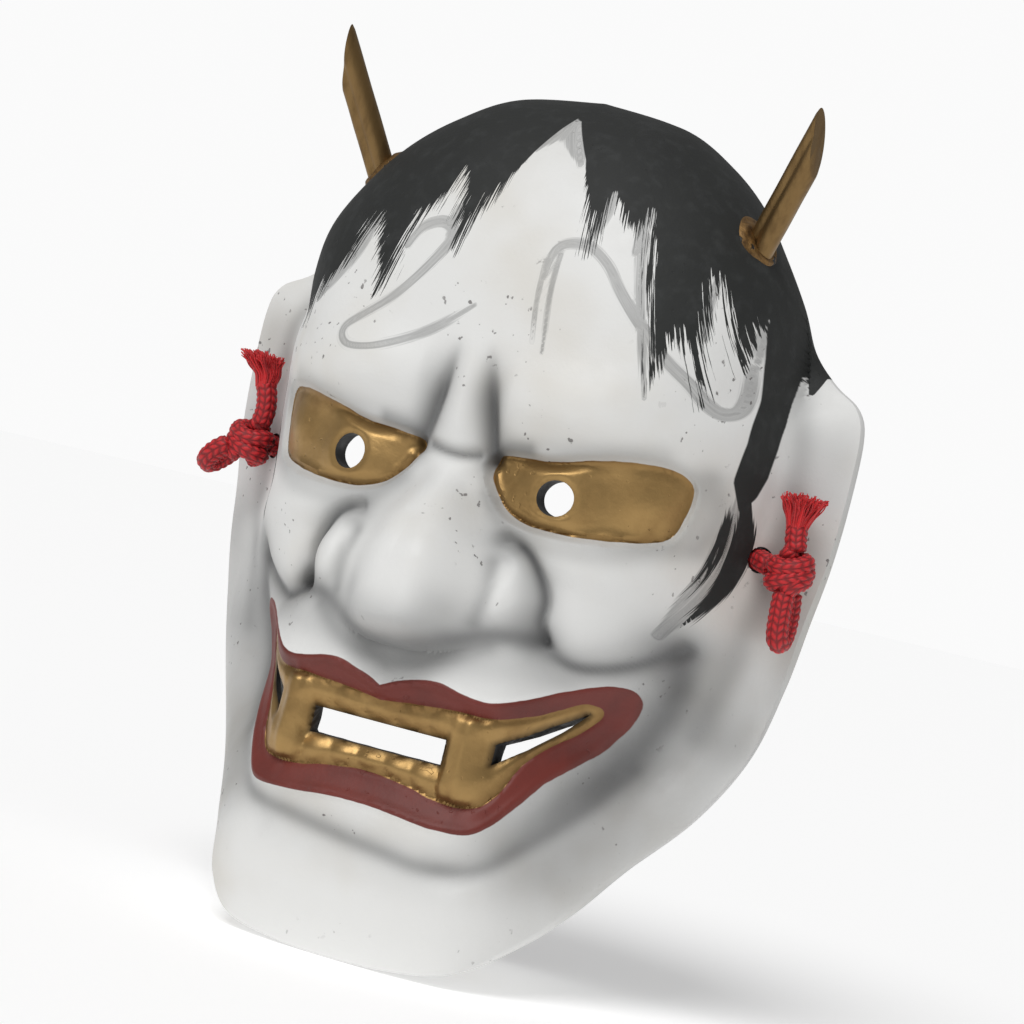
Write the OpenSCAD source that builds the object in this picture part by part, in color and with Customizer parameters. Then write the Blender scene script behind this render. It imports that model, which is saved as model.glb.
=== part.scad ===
// Horned demon mask of the noh theatre: a carved and painted shell, a pair of glued-in horns, and one red
// braided cord that is knotted in front of each ear.
//
// Frame: millimetres, +Z to the crown, the face looks along -Y, +X to the viewer's right. The back rim lies in
// the plane y = 0, and the origin is on it, on the mask's middle line.

/* [Mask] */
// Width of the mask across its ears
mask_w = 157; // [145:1:170]
// Height of the mask from chin to crown, without the horns
mask_h = 206.5; // [195:0.5:220]
// Depth of the mask from its back rim to the chin's front edge
mask_d = 66.5; // [60:0.5:74]
// Thickness of the carved wall
wall_t = 5; // [4:0.5:6]

/* [Eyes and mouth] */
// Diameter of the holes that the wearer looks through
eye_hole_d = 8.2; // [7:0.1:10]
// Distance of an eye hole from the middle line
eye_hole_x = 26; // [24:0.5:28]
// Height of the slot between the two rows of teeth
tooth_gap = 6; // [4:0.5:7]
// Width of the middle slot, between the two fangs
tooth_gap_w = 33; // [26:1:36]

/* [Horns] */
// Diameter of the horn rods
horn_d = 7; // [6:0.5:8]
// Length of a horn outside the mask, measured along its middle
horn_len = 36; // [28:1:44]
// Angle that a horn leans outwards
horn_out = 24; // [16:1:28]
// Angle that a horn leans forwards
horn_fore = 20; // [12:1:24]
// Angle between a horn's axis and its slanting cut
horn_cut = 26; // [20:1:40]

/* [Cord] */
// Diameter of the braided cord
cord_d = 5.2; // [4.8:0.1:5.4]
// How far the cord sags behind the mask, below its two holes
cord_sag = 46; // [30:1:50]

/* [Hidden] */

// The outlines below are drawn for a mask of these three sizes, and stretched to the sizes above.
drawn = [157, 66.5, 206.5];
stretch = [mask_w / drawn[0], mask_d / drawn[1], mask_h / drawn[2]];

// Front edge of the face from crown to chin, on the side where x is positive. Each row holds x, the depth in
// front of the rim, z, then how full the face is on its way there: two exponents, and the share of the way
// at which the cheek ends and the flat of the ear begins (1 where there is no ear).
edge = [
    [0, 14, 110.5, 3.4, 0.5, 1],
    [20, 14, 108, 3.4, 0.5, 1],
    [33, 14, 101.5, 3.4, 0.5, 1],
    [43, 15, 93.5, 3.4, 0.5, 1],
    [51, 16, 83.5, 3.4, 0.5, 1],
    [58, 14, 72.5, 3.4, 0.5, 1],
    [62.5, 12, 63, 3.4, 0.55, 0.98],
    [69, 11, 56.5, 3.8, 0.75, 0.92],
    [76, 12, 52, 3.9, 0.85, 0.86],
    [78.5, 12, 45, 3.9, 0.88, 0.84],
    [78.5, 12, 28, 3.9, 0.9, 0.84],
    [77.5, 12, 14, 3.6, 0.92, 0.84],
    [75.5, 12, 1, 3, 1.05, 0.87],
    [73.5, 12, -15, 2.3, 1.3, 0.95],
    [69.5, 13, -33, 2.2, 1.3, 1],
    [61.5, 20, -50, 2.4, 0.95, 1],
    [50, 33, -66, 2.8, 0.72, 1],
    [43, 45, -78, 3, 0.7, 1],
    [37, 56, -86, 3.4, 0.7, 1],
    [28, 63, -93, 3.6, 0.7, 1],
    [14, 66, -95.5, 3.6, 0.7, 1],
    [0, 66.5, -96, 3.6, 0.7, 1]
];

// Back rim in the plane y = 0, point for point with the front edge: x, z.
rim = [
    [0, 106], [18, 104], [30, 98], [39, 90], [46.5, 80], [53, 69.5], [58, 61], [64, 54.5], [71.5, 49], [74, 42],
    [74.5, 28], [74, 14], [72.5, 0], [70, -15], [65, -32], [57, -46], [47, -58], [39, -67], [31, -75], [21, -82],
    [10, -86], [0, -87]
];

// Depth of the face along its middle line, without the nose: z, depth.
middle_line = [
    [-96, 66.5], [-84, 71.5], [-72, 72.5], [-62, 71.5], [-54, 69.5], [-46, 69], [-40, 69], [-34, 71],
    [-26, 70], [-16, 67], [-4, 64], [8, 61], [20, 60], [32, 61], [48, 63], [64, 64], [111, 64]
];

// The fold under each cheek and the groove that runs from it round the mouth: x, z.
cheek_fold = [[29.5, -16], [33.5, -19], [38.5, -19.5], [46.5, -16.5], [54.5, -10.5]];
smile_groove = [[54, -13], [54, -20], [51.5, -28], [47, -38], [42.5, -47], [37.5, -56], [32, -64], [24, -70]];

// How far the corners of the mouth turn back from the base: z, depth.
mouth_turn_by = [[-72, 0], [-62, 2], [-54, 5], [-47, 9.5], [-38, 13], [-31, 11], [-25, 6], [-18, 1], [-12, 0]];

// Height of the point that the rings of the face are drawn round
ring_z = 5;
// The wall is drawn this far past the rim, and then cut off flat
rim_spare = 1;
// Rings from the middle to the front edge outside and inside, rings of the side wall, and sectors all round
outer_rings = 30;
inner_rings = 15;
wall_rings = 4;
sectors = 84;

edge_last = len(edge) - 1;

// ---- Curves ----

function clamp01(v) = max(0, min(1, v));
function smooth(a, b, v) = let (t = clamp01((v - a) / (b - a))) t * t * (3 - 2 * t);
function bell(x, z, cx, cz, rx, rz, p) = exp(-pow(pow((x - cx) / rx, 2) + pow((z - cz) / rz, 2), p / 2));

// Point at u (0 at the first point, 1 at the second, and so on) of a smooth curve through the list pts
function at_index(pts, i) = pts[max(0, min(len(pts) - 1, i))];
function curve(pts, u) =
    let (i = max(0, min(len(pts) - 2, floor(u))))
    let (f = u - i)
    let (a = at_index(pts, i - 1), b = at_index(pts, i), c = at_index(pts, i + 1), d = at_index(pts, i + 2))
    (2 * b + (c - a) * f + (2 * a - 5 * b + 4 * c - d) * f * f + (3 * b - a - 3 * c + d) * f * f * f) / 2;

// Distance from the point p to the line through the list pts
function to_segment(p, a, b) =
    let (t = clamp01((p - a) * (b - a) / ((b - a) * (b - a))))
    norm(p - a - t * (b - a));
function to_line(p, pts) = min([for (i = [0 : len(pts) - 2]) to_segment(p, pts[i], pts[i + 1])]);

// ---- Relief of the face, in front of its smooth base ----

function nose(x, z) =
    let (width = 6 + 3.8 * smooth(14, 0, z))
    let (ridge = 17.4 * smooth(21, -4, z) * exp(-pow(x / width, 2.4)))
    let (flank = 3 * bell(x, z, 12, -4, 12, 12, 2.4))
    let (wing = 6 * bell(x, z, 23, -8, 5.5, 8.5, 2.8))
    (ridge + flank + wing) * smooth(-24.4, -18.5, z - 6.5 * pow(x / 24, 2));
function cheeks_and_brows(x, z) =
    7 * bell(x, z, 44, -5, 17, 12.5, 2.4)
    + 5 * bell(x, z, 30, 37, 24, 9, 2.2)
    + 2.5 * bell(x, z, 0, 33, 6, 9, 2);
function creases(x, z) =
    3 * exp(-pow((x - 7.5 + 0.2 * (z - 30)) / 2.4, 2)) * smooth(16, 24, z) * smooth(46, 36, z)
    + 3.2 * exp(-pow(to_line([x, z], cheek_fold) / 3.2, 2))
    + 2.6 * exp(-pow(to_line([x, z], smile_groove) / 4.5, 2));
// Recesses of the eyes and of the open mouth
function recesses(x, z) =
    2.5 * smooth(1.08, 0.92, norm([(x - 31) / 22, (z - 18 - 0.08 * (x - 31)) / 9.5]))
    + 1.5 * smooth(1.08, 0.92, norm([x / 50, (z + 45 - 0.006 * x * x) / 11]));
function mouth_turn(x, z) = lookup(z, mouth_turn_by) * smooth(26, 47, x) * smooth(66, 50, x);
function relief(x, z) = nose(x, z) + cheeks_and_brows(x, z) - creases(x, z) - recesses(x, z);

// Share of the middle line's depth that is left at t of the way out to the front edge row e
function fullness(e, t) =
    let (face = pow(max(0, 1 - pow(min(t / e[5], 1), e[3])), e[4]))
    let (has_ear = smooth(1, 0.9, e[5]))
    let (ear = (1 - t) * has_ear * smooth(0.45, 0.72, t))
    t > 0.999 ? 0 : ear > 0 ? (face + ear + sqrt(pow(face - ear, 2) + 0.002 * has_ear)) / 2 : face;

// Point of the face at u along the front edge and t of the way out, set in by the distance inset
function face_point(u, t, inset) =
    let (e = curve(edge, u))
    let (reach = norm([e[0], e[2] - ring_z]))
    let (k = t * (1 - inset / reach))
    let (x = e[0] * k, z = ring_z + (e[2] - ring_z) * k)
    let (base_x = e[0] * t, base_z = ring_z + (e[2] - ring_z) * t)
    let (rise = relief(base_x, base_z) * smooth(1, 0.9, t))
    let (rise_kept = inset > 0 && rise > 0 ? 0.6 * rise : rise)
    let (depth = e[1] - inset + (lookup(base_z, middle_line) - e[1]) * fullness(e, t) + rise_kept)
    let (turned_back = mouth_turn(base_x, base_z) * smooth(1, 0.85, t))
    [x, turned_back - depth, z];

// Point of the side wall at u along the edge and w of the way from the front edge back to the rim
function wall_point(u, w, inset) =
    let (front = face_point(u, 1, inset))
    let (r = curve(rim, u))
    let (k = 1 - inset / norm([r[0], r[1] - ring_z]))
    let (back = [r[0] * k, ring_z + (r[1] - ring_z) * k])
    let (turn = pow(w, 1.8))
    [
        front[0] + (back[0] - front[0]) * turn,
        front[1] * (1 - w) + rim_spare * w,
        front[2] + (back[1] - front[2]) * turn
    ];

// Ring of points round the mask: the edge from crown to chin, and back up on the other side
function ring_u(j) = let (s = j / sectors * 2) (s <= 1 ? s : 2 - s) * edge_last;
function ring_side(j) = j / sectors * 2 <= 1 ? 1 : -1;
function set_side(p, j) = [p[0] * ring_side(j) * stretch[0], p[1] * stretch[1], p[2] * stretch[2]];
function face_ring(t, inset) = [for (j = [0 : sectors - 1]) set_side(face_point(ring_u(j), t, inset), j)];
function wall_ring(w, inset) = [for (j = [0 : sectors - 1]) set_side(wall_point(ring_u(j), w, inset), j)];
// The rings of the face lie closer together towards the edge
function ring_t(i, count) = 1 - pow(1 - i / count, 1.3);

module shell_body() {
    middle_outside = set_side(face_point(0, 0, 0), 0);
    middle_inside = set_side(face_point(0, 0, wall_t), 0);
    rings = [
        for (i = [1 : outer_rings]) face_ring(ring_t(i, outer_rings), 0),
        for (i = [1 : wall_rings]) wall_ring(i / wall_rings, 0),
        for (i = [wall_rings : -1 : 1]) wall_ring(i / wall_rings, wall_t),
        for (i = [inner_rings : -1 : 1]) face_ring(ring_t(i, inner_rings), wall_t)
    ];
    points = [middle_outside, for (r = rings) each r, middle_inside];
    last = len(points) - 1;
    at = function (i, j) 1 + i * sectors + (j % sectors);
    // The patches of the two halves are cut into triangles as mirror images.
    patch = function (a, b, c, d, side) side > 0 ? [[a, b, d], [b, c, d]] : [[a, b, c], [a, c, d]];
    faces = [
        for (j = [0 : sectors - 1]) [0, at(0, j), at(0, j + 1)],
        for (i = [0 : len(rings) - 2], j = [0 : sectors - 1])
            each patch(at(i, j), at(i + 1, j), at(i + 1, j + 1), at(i, j + 1), ring_side(j + 0.5)),
        for (j = [0 : sectors - 1]) [last, at(len(rings) - 1, j + 1), at(len(rings) - 1, j)]
    ];
    polyhedron(points = points, faces = faces, convexity = 10);
}

// ---- Places of the fittings ----

// Foot of a horn on the crown, and the outward direction of the crown there
horn_foot = [49 * stretch[0], -28 * stretch[1], 83 * stretch[2]];
crown_tilt = 56;
crown_turn = 70;
// How far the horn goes into the wall, and the ring of filler round it
horn_root = 7;
filler_r = horn_d / 2 + 2.2;
filler_depth = 2;
filler_proud = 1.2;
glue_gap = 0.1;

// Mouth of a cord hole behind the cheek, and the angle of the hole away from straight ahead
cord_hole = [63.5 * stretch[0], -20.5 * stretch[1], 13];
cord_hole_turn = 45;
cord_hole_d = cord_d + 1;

// Knots in front of the ears
knot_right_at = [72.8, -24.9, 11.8];
knot_left_at = [-67.8, -26.2, 12.8];
knot_r = 5.9;
knot_h = 11.8;
// Sockets in a knot for the cord's ends
knot_bore_d = cord_d + 0.4;
knot_bore_spare = 1;

module each_side(side) mirror([side < 0 ? 1 : 0, 0, 0]) children();

module place_on_horn() translate(horn_foot) rotate([horn_fore, horn_out, 0]) children();
module place_on_crown() translate(horn_foot) rotate([0, 0, crown_turn]) rotate([crown_tilt, 0, 0]) children();
module place_on_cord_hole() translate(cord_hole) rotate([0, 0, cord_hole_turn]) rotate([90, 0, 0]) children();

// ---- Shell ----

module eye_hole() {
    translate([eye_hole_x, 0, 16])
        rotate([90, 0, 0])
            cylinder(d = eye_hole_d, h = 2 * mask_d, $fn = 48);
}

// Slots between the upper and the lower teeth: one in the middle and one outside each fang
module tooth_slots() {
    outer_slot = [[27, -40.5], [31.7, -37.3], [35.4, -34], [40.4, -29.8], [36.7, -35], [32.2, -40.3], [27, -45.2]];
    rotate([90, 0, 0])
        linear_extrude(2 * mask_d) {
            translate([-tooth_gap_w / 2, -45 - tooth_gap / 2]) square([tooth_gap_w, tooth_gap]);
            for (side = [1, -1]) scale([side, 1]) polygon(outer_slot);
        }
}

module horn_socket() {
    place_on_horn()
        translate([0, 0, -4 * wall_t])
            cylinder(d = horn_d + 2 * glue_gap, h = 8 * wall_t, $fn = 48);
    place_on_crown()
        translate([0, 0, -filler_depth])
            cylinder(r = filler_r + glue_gap, h = 2 * wall_t, $fn = 48);
}

module cord_hole_bore() {
    place_on_cord_hole()
        translate([0, 0, -3 * wall_t])
            cylinder(d = cord_hole_d, h = 6 * wall_t, $fn = 48);
}

module mask_shell() {
    color("whitesmoke")
        difference() {
            shell_body();
            translate([-mask_w, 0, -mask_h]) cube([2 * mask_w, 10 * rim_spare, 2 * mask_h]);
            tooth_slots();
            for (side = [1, -1]) each_side(side) {
                eye_hole();
                horn_socket();
                cord_hole_bore();
            }
        }
}

// ---- Horns ----

module horn(side) {
    reach = 3 * horn_d;
    color("goldenrod")
        each_side(side)
            place_on_horn()
                difference() {
                    translate([0, 0, -horn_root])
                        cylinder(d = horn_d, h = horn_root + horn_len, $fn = 48);
                    translate([-horn_d / 2, 0, horn_len])
                        rotate([0, -horn_cut, 0])
                            translate([0, -reach, -reach])
                                cube([reach, 2 * reach, 2 * reach]);
                }
}

module horn_filler(side) {
    color("darkgoldenrod")
        each_side(side)
            difference() {
                place_on_crown()
                    translate([0, 0, -filler_depth])
                        cylinder(r = filler_r, h = filler_depth + filler_proud, $fn = 48);
                place_on_horn()
                    translate([0, 0, -2 * wall_t])
                        cylinder(d = horn_d + glue_gap, h = 4 * wall_t, $fn = 48);
            }
}

// ---- Cord ----

// Ring of the tube round point i of a route, square to the route, as a list of 8 points
tube_sides = 8;
function route_ahead(route, i) =
    let (d = route[min(len(route) - 1, i + 1)] - route[max(0, i - 1)])
    d / norm(d);
function side_way(ahead) =
    let (ref = abs(ahead[1]) < 0.9 ? [0, 1, 0] : [0, 0, 1])
    let (c = cross(ahead, ref))
    c / norm(c);
function tube_ring(route, i, r) =
    let (ahead = route_ahead(route, i))
    let (across = side_way(ahead))
    let (up = cross(across, ahead))
    [for (k = [0 : tube_sides - 1])
        route[i] + r * (cos(k * 360 / tube_sides) * across + sin(k * 360 / tube_sides) * up)];

module tube(route, r) {
    last = len(route) - 1;
    points = [for (i = [0 : last]) each tube_ring(route, i, r)];
    faces = [
        [for (k = [tube_sides - 1 : -1 : 0]) k],
        for (i = [0 : last - 1], k = [0 : tube_sides - 1])
            let (a = i * tube_sides + k)
            let (b = i * tube_sides + (k + 1) % tube_sides)
            each [[a, b, b + tube_sides], [a, b + tube_sides, a + tube_sides]],
        [for (k = [0 : tube_sides - 1]) last * tube_sides + k]
    ];
    polyhedron(points = points, faces = faces, convexity = 6);
}

// Where the cord runs: from the right knot through its hole to the hollow behind the mask, along the back rim
// to the middle line, and the same way to the left knot.
cord_end_right = [[68, -24, 12.2], [66, -23, 12.6], [64, -21, 13]];
cord_end_left = [[-64, -21, 13], [-65.2, -22.6, 13]];
cord_behind = [
    [61.5, -18.5, 13], [59, -16, 12.8], [56, -12.5, 11.5], [53, -9.5, 8], [49, -7.5, 1], [43, -6.5, -8],
    [35, -6, -17], [25, -6, -25], [13, -6, -31], [0, -6, -33]
];
// The lowest stretch moves with the sag.
sag_drawn = 46;
cord_top = 13;
function sagged(p) = [p[0], p[1], cord_top - (cord_top - p[2]) * cord_sag / sag_drawn];
cord_right = [for (p = cord_behind) sagged(p)];
cord_route = [
    for (p = cord_end_right) p,
    for (p = cord_right) p,
    for (i = [len(cord_right) - 2 : -1 : 0]) [-cord_right[i][0], cord_right[i][1], cord_right[i][2]],
    for (p = cord_end_left) p
];

module hanging_cord() {
    color("crimson") tube(cord_route, cord_d / 2);
}

// Free ends in front of the ears. The right loop hangs down, the left one stands out sideways.
loop_right = [
    [73.4, -27.3, 7.4], [73.4, -27.4, 4.5], [73.5, -27.3, 1.5], [73.6, -26.8, -1.6], [73.8, -25.5, -3.9],
    [73.9, -23.4, -4.2], [73.9, -21.8, -2], [73.8, -21.4, 1.5], [73.6, -21.6, 4.5], [73.4, -22.2, 7.4]
];
loop_left = [
    [-71.6, -29.4, 11], [-73.8, -30.1, 9.4], [-75.9, -29.9, 7.4], [-77.1, -28.4, 5.8], [-76.9, -26.3, 5.6],
    [-75.5, -24.8, 7], [-73.7, -24.4, 8.8], [-71.8, -24.5, 10.8]
];
tail_right = [[73.3, -25, 16.4], [72.4, -24.8, 19], [71.9, -24.6, 22.8]];
tail_left = [[-66.4, -26.2, 17.2], [-65.6, -26.6, 20.5], [-65.9, -26.8, 24], [-67.2, -26.6, 27.6]];
// Lean of the frayed ends: forwards, then sideways
tuft_lean_right = [0, 2];
tuft_lean_left = [0, -22];
tuft_gap = 0.3;
tuft_len = 7.5;
tuft_r = 5.4;

// Directions in which the cord leaves a knot: where its middle line crosses the knot's skin, and the turn
// that points a bore out of the knot
bores_right = [
    [cord_end_right[0], [0, -90, 0]], [loop_right[0], [180, 0, 0]],
    [loop_right[9], [180, 0, 0]], [tail_right[0], [0, 0, 0]]
];
bores_left = [
    [cord_end_left[1], [-90, 0, -45]], [loop_left[0], [0, -125, 0]],
    [loop_left[7], [0, -125, 0]], [tail_left[0], [0, 0, 0]]
];

module knot(side) {
    color("firebrick")
        difference() {
            translate((side > 0 ? knot_right_at : knot_left_at) - [0, 0, knot_h / 2])
                rotate_extrude($fn = 40)
                    intersection() {
                        translate([0, knot_h / 2]) circle(d = knot_h, $fn = 40);
                        square([knot_r, knot_h]);
                    }
            for (bore = side > 0 ? bores_right : bores_left)
                translate(bore[0])
                    rotate(bore[1])
                        translate([0, 0, -knot_bore_spare])
                            cylinder(d = knot_bore_d, h = 2 * knot_h, $fn = 32);
        }
}

module cord_loop(side) {
    color("crimson") tube(side > 0 ? loop_right : loop_left, cord_d / 2);
}

module cord_tail(side) {
    color("crimson") tube(side > 0 ? tail_right : tail_left, cord_d / 2);
}

// Frayed end of the cord: a short brush that opens upwards
module cord_tuft(side) {
    route = side > 0 ? tail_right : tail_left;
    lean = side > 0 ? tuft_lean_right : tuft_lean_left;
    color("red")
        translate(route[len(route) - 1])
            rotate([lean[0], lean[1], 0])
                translate([0, 0, tuft_gap])
                    cylinder(r1 = cord_d / 2, r2 = tuft_r, h = tuft_len, $fn = 32);
}

mask_shell();
horn(-1);  // horn_left
horn(1);  // horn_right
horn_filler(-1);  // horn_filler_left
horn_filler(1);  // horn_filler_right
hanging_cord();
knot(-1);  // knot_left
knot(1);  // knot_right
cord_loop(-1);  // cord_loop_left
cord_loop(1);  // cord_loop_right
cord_tail(-1);  // cord_tail_left
cord_tail(1);  // cord_tail_right
cord_tuft(-1);  // cord_tuft_left
cord_tuft(1);  // cord_tuft_right
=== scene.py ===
import math

import bmesh
import bpy
import numpy as np
from mathutils import Matrix, Vector


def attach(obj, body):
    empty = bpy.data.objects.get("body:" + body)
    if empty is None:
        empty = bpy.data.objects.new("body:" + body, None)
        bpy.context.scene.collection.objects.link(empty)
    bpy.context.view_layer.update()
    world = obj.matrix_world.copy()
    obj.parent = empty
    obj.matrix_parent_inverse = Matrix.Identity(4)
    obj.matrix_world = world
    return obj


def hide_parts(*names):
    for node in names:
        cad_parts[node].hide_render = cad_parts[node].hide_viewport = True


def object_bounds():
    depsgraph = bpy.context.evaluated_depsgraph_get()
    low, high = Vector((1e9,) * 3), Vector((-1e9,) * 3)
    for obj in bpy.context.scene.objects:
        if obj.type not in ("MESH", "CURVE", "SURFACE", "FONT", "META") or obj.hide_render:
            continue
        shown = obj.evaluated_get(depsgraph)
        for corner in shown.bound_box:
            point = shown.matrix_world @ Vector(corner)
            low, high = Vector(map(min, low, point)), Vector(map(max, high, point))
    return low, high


# A horned demon mask of the noh theatre: a carved and painted shell, two gilt horns in rings of filler, and
# one red braided cord. Shapes are worked out in millimetres in the frame of the CAD model, where the face
# looks along -Y and the back rim lies in the plane y = 0, and become metres when a mesh is made.

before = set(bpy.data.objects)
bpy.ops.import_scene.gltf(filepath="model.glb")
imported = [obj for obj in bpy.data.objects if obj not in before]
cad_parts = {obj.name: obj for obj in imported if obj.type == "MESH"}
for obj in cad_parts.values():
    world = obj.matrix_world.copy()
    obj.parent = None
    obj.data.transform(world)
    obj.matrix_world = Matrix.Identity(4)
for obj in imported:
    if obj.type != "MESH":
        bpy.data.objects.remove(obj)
cad_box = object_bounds()
MM = 0.001
# The viewer's right is where x is positive.
SIDES = {"right": 1, "left": -1}
rng = np.random.default_rng(7)

# ---- Camera and light ----

CAMERA_AT = (294, -742, 14.7)
CAMERA_TURN = 22.1
CAMERA_DIP = 0.3
CAMERA_ROLL = 13.2
CAMERA_LENS = 115.3


def turned(axis, degrees):
    return Matrix.Rotation(math.radians(degrees), 3, axis)


def add_camera():
    data = bpy.data.cameras.new("camera")
    data.lens = CAMERA_LENS
    data.clip_end = 100
    camera = bpy.data.objects.new("camera", data)
    aim = turned("Z", CAMERA_TURN) @ turned("X", 90 - CAMERA_DIP) @ turned("Z", CAMERA_ROLL)
    camera.matrix_world = Matrix.Translation(Vector(CAMERA_AT) * MM) @ aim.to_4x4()
    bpy.context.scene.collection.objects.link(camera)
    bpy.context.scene.camera = camera


SUN_FROM = (-0.05, -0.7, 1.0)
SUN_STRENGTH = 1.7
SUN_WIDTH = 34
SKY_LIGHT = 0.3
SKY_SEEN = 0.96


def add_sun():
    """Soft studio light from above and in front."""
    data = bpy.data.lights.new("soft_light", "SUN")
    data.energy = SUN_STRENGTH
    data.angle = math.radians(SUN_WIDTH)
    light = bpy.data.objects.new("soft_light", data)
    light.rotation_euler = (-Vector(SUN_FROM)).to_track_quat("-Z", "Y").to_euler()
    bpy.context.scene.collection.objects.link(light)


def add_sky():
    """An even pale surround, brighter to look at than it lights, so that it meets the floor with no line."""
    world = bpy.data.worlds.new("studio")
    world.use_nodes = True
    nodes, links = world.node_tree.nodes, world.node_tree.links
    background = nodes["Background"]
    background.inputs["Color"].default_value = (1, 1, 1, 1)
    path = nodes.new("ShaderNodeLightPath")
    strength = nodes.new("ShaderNodeMapRange")
    strength.inputs["To Min"].default_value = SKY_LIGHT
    strength.inputs["To Max"].default_value = SKY_SEEN
    links.new(path.outputs["Is Camera Ray"], strength.inputs["Value"])
    links.new(strength.outputs[0], background.inputs["Strength"])
    bpy.context.scene.world = world


add_camera()
add_sun()
add_sky()
bpy.context.scene.view_settings.view_transform = "Standard"

# ---- Curves and fields ----


def clamp01(v):
    return np.clip(v, 0, 1)


def smooth(a, b, v):
    """A soft step from 0 at a to 1 at b."""
    t = clamp01((v - a) / (b - a))
    return t * t * (3 - 2 * t)


def hump(v, width):
    """A bell curve round zero."""
    return np.exp(-((v / width) ** 2))


def bell(x, z, cx, cz, rx, rz, p=2):
    """A bump at (cx, cz) with radii rx and rz, flatter on top the higher p is."""
    return np.exp(-(((x - cx) / rx) ** 2 + ((z - cz) / rz) ** 2) ** (p / 2))


def curve(points, u):
    """Places on a smooth curve through the points: u is 0 at the first point, 1 at the next, and so on."""
    pts = np.asarray(points, float)
    last = len(pts) - 1
    i = np.clip(np.floor(u).astype(int), 0, last - 1)
    f = (u - i)[..., None]
    a, b, c, d = (pts[np.clip(i + k, 0, last)] for k in (-1, 0, 1, 2))
    return (2 * b + (c - a) * f + (2 * a - 5 * b + 4 * c - d) * f**2 + (3 * b - a - 3 * c + d) * f**3) / 2


def rounded(points, per_step=5):
    """The smooth curve through the points as a denser line."""
    last = len(points) - 1
    return curve(points, np.linspace(0, last, last * per_step + 1))


def lengths(line):
    """How far along the line each of its points lies."""
    return np.r_[0, np.cumsum(np.sqrt((np.diff(line, axis=0) ** 2).sum(1)))]


def mirrored(points):
    """The same points on the other side of the middle plane."""
    return [(-x, *rest) for x, *rest in points]


def measure(x, z, line):
    """Distance from each (x, z) to a line, the nearest place along it from 0 to 1, and the line's length."""
    line = np.asarray(line, float)
    steps = np.hypot(*np.diff(line[:, :2], axis=0).T)
    start = np.r_[0, np.cumsum(steps)]
    best = np.full(x.shape, 1e9)
    along = np.zeros(x.shape)
    for i, step in enumerate(steps):
        ax, az = line[i, :2]
        dx, dz = (line[i + 1, :2] - line[i, :2]) / step
        t = np.clip((x - ax) * dx + (z - az) * dz, 0, step)
        gap = np.hypot(x - ax - t * dx, z - az - t * dz)
        nearer = gap < best
        best = np.where(nearer, gap, best)
        along = np.where(nearer, start[i] + t, along)
    return best, along / start[-1], start[-1]


def inside_by(x, z, outline):
    """Distance to a closed outline, positive inside it and negative outside."""
    closed = np.r_[outline, outline[:1]]
    gap = measure(x, z, closed)[0]
    within = np.zeros(x.shape, bool)
    for (ax, az), (bx, bz) in zip(closed[:-1], closed[1:]):
        if az == bz:
            continue
        crosses = ((az > z) != (bz > z)) & (x < ax + (bx - ax) * (z - az) / (bz - az))
        within ^= crosses
    return np.where(within, gap, -gap)


def both_sides(half):
    """Closed outline from its half where x is positive, which starts and ends on the middle line."""
    half = rounded(half)
    return np.r_[half, (half * (-1, 1))[::-1]]


# Sets the strokes' places across apart, so that no two have the same bristle marks.
STROKE_APART = 20


def brushed(x, z, strokes):
    """How far inside the nearest brush stroke each (x, z) is, then the place across and along that stroke."""
    deepest = np.full(x.shape, -99.0)
    across = np.zeros(x.shape)
    place = np.zeros(x.shape)
    for number, stroke in enumerate(strokes):
        line = rounded(stroke)
        gap, along, length = measure(x, z, line)
        depth = np.interp(along, np.linspace(0, 1, len(line)), line[:, 2]) - gap
        nearer = depth > deepest
        deepest = np.where(nearer, depth, deepest)
        across = np.where(nearer, gap + STROKE_APART * number, across)
        place = np.where(nearer, along * length, place)
    return deepest, across, place


# ---- Shape of the mask ----

# Front edge from crown to chin: x, depth, z, two exponents of fullness, and the share of the way out at which
# the cheek ends and the flat of the ear begins.
EDGE = [
    [0, 14, 110.5, 3.4, 0.5, 1], [20, 14, 108, 3.4, 0.5, 1], [33, 14, 101.5, 3.4, 0.5, 1],
    [43, 15, 93.5, 3.4, 0.5, 1], [51, 16, 83.5, 3.4, 0.5, 1], [58, 14, 72.5, 3.4, 0.5, 1],
    [62.5, 12, 63, 3.4, 0.55, 0.98], [69, 11, 56.5, 3.8, 0.75, 0.92], [76, 12, 52, 3.9, 0.85, 0.86],
    [78.5, 12, 45, 3.9, 0.88, 0.84], [78.5, 12, 28, 3.9, 0.9, 0.84], [77.5, 12, 14, 3.6, 0.92, 0.84],
    [75.5, 12, 1, 3, 1.05, 0.87], [73.5, 12, -15, 2.3, 1.3, 0.95], [69.5, 13, -33, 2.2, 1.3, 1],
    [61.5, 20, -50, 2.4, 0.95, 1], [50, 33, -66, 2.8, 0.72, 1], [43, 45, -78, 3, 0.7, 1],
    [37, 56, -86, 3.4, 0.7, 1], [28, 63, -93, 3.6, 0.7, 1], [14, 66, -95.5, 3.6, 0.7, 1],
    [0, 66.5, -96, 3.6, 0.7, 1],
]
# Back rim in the plane y = 0, point for point with the front edge: x, z.
RIM = [
    [0, 106], [18, 104], [30, 98], [39, 90], [46.5, 80], [53, 69.5], [58, 61], [64, 54.5], [71.5, 49],
    [74, 42], [74.5, 28], [74, 14], [72.5, 0], [70, -15], [65, -32], [57, -46], [47, -58], [39, -67],
    [31, -75], [21, -82], [10, -86], [0, -87],
]
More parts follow.
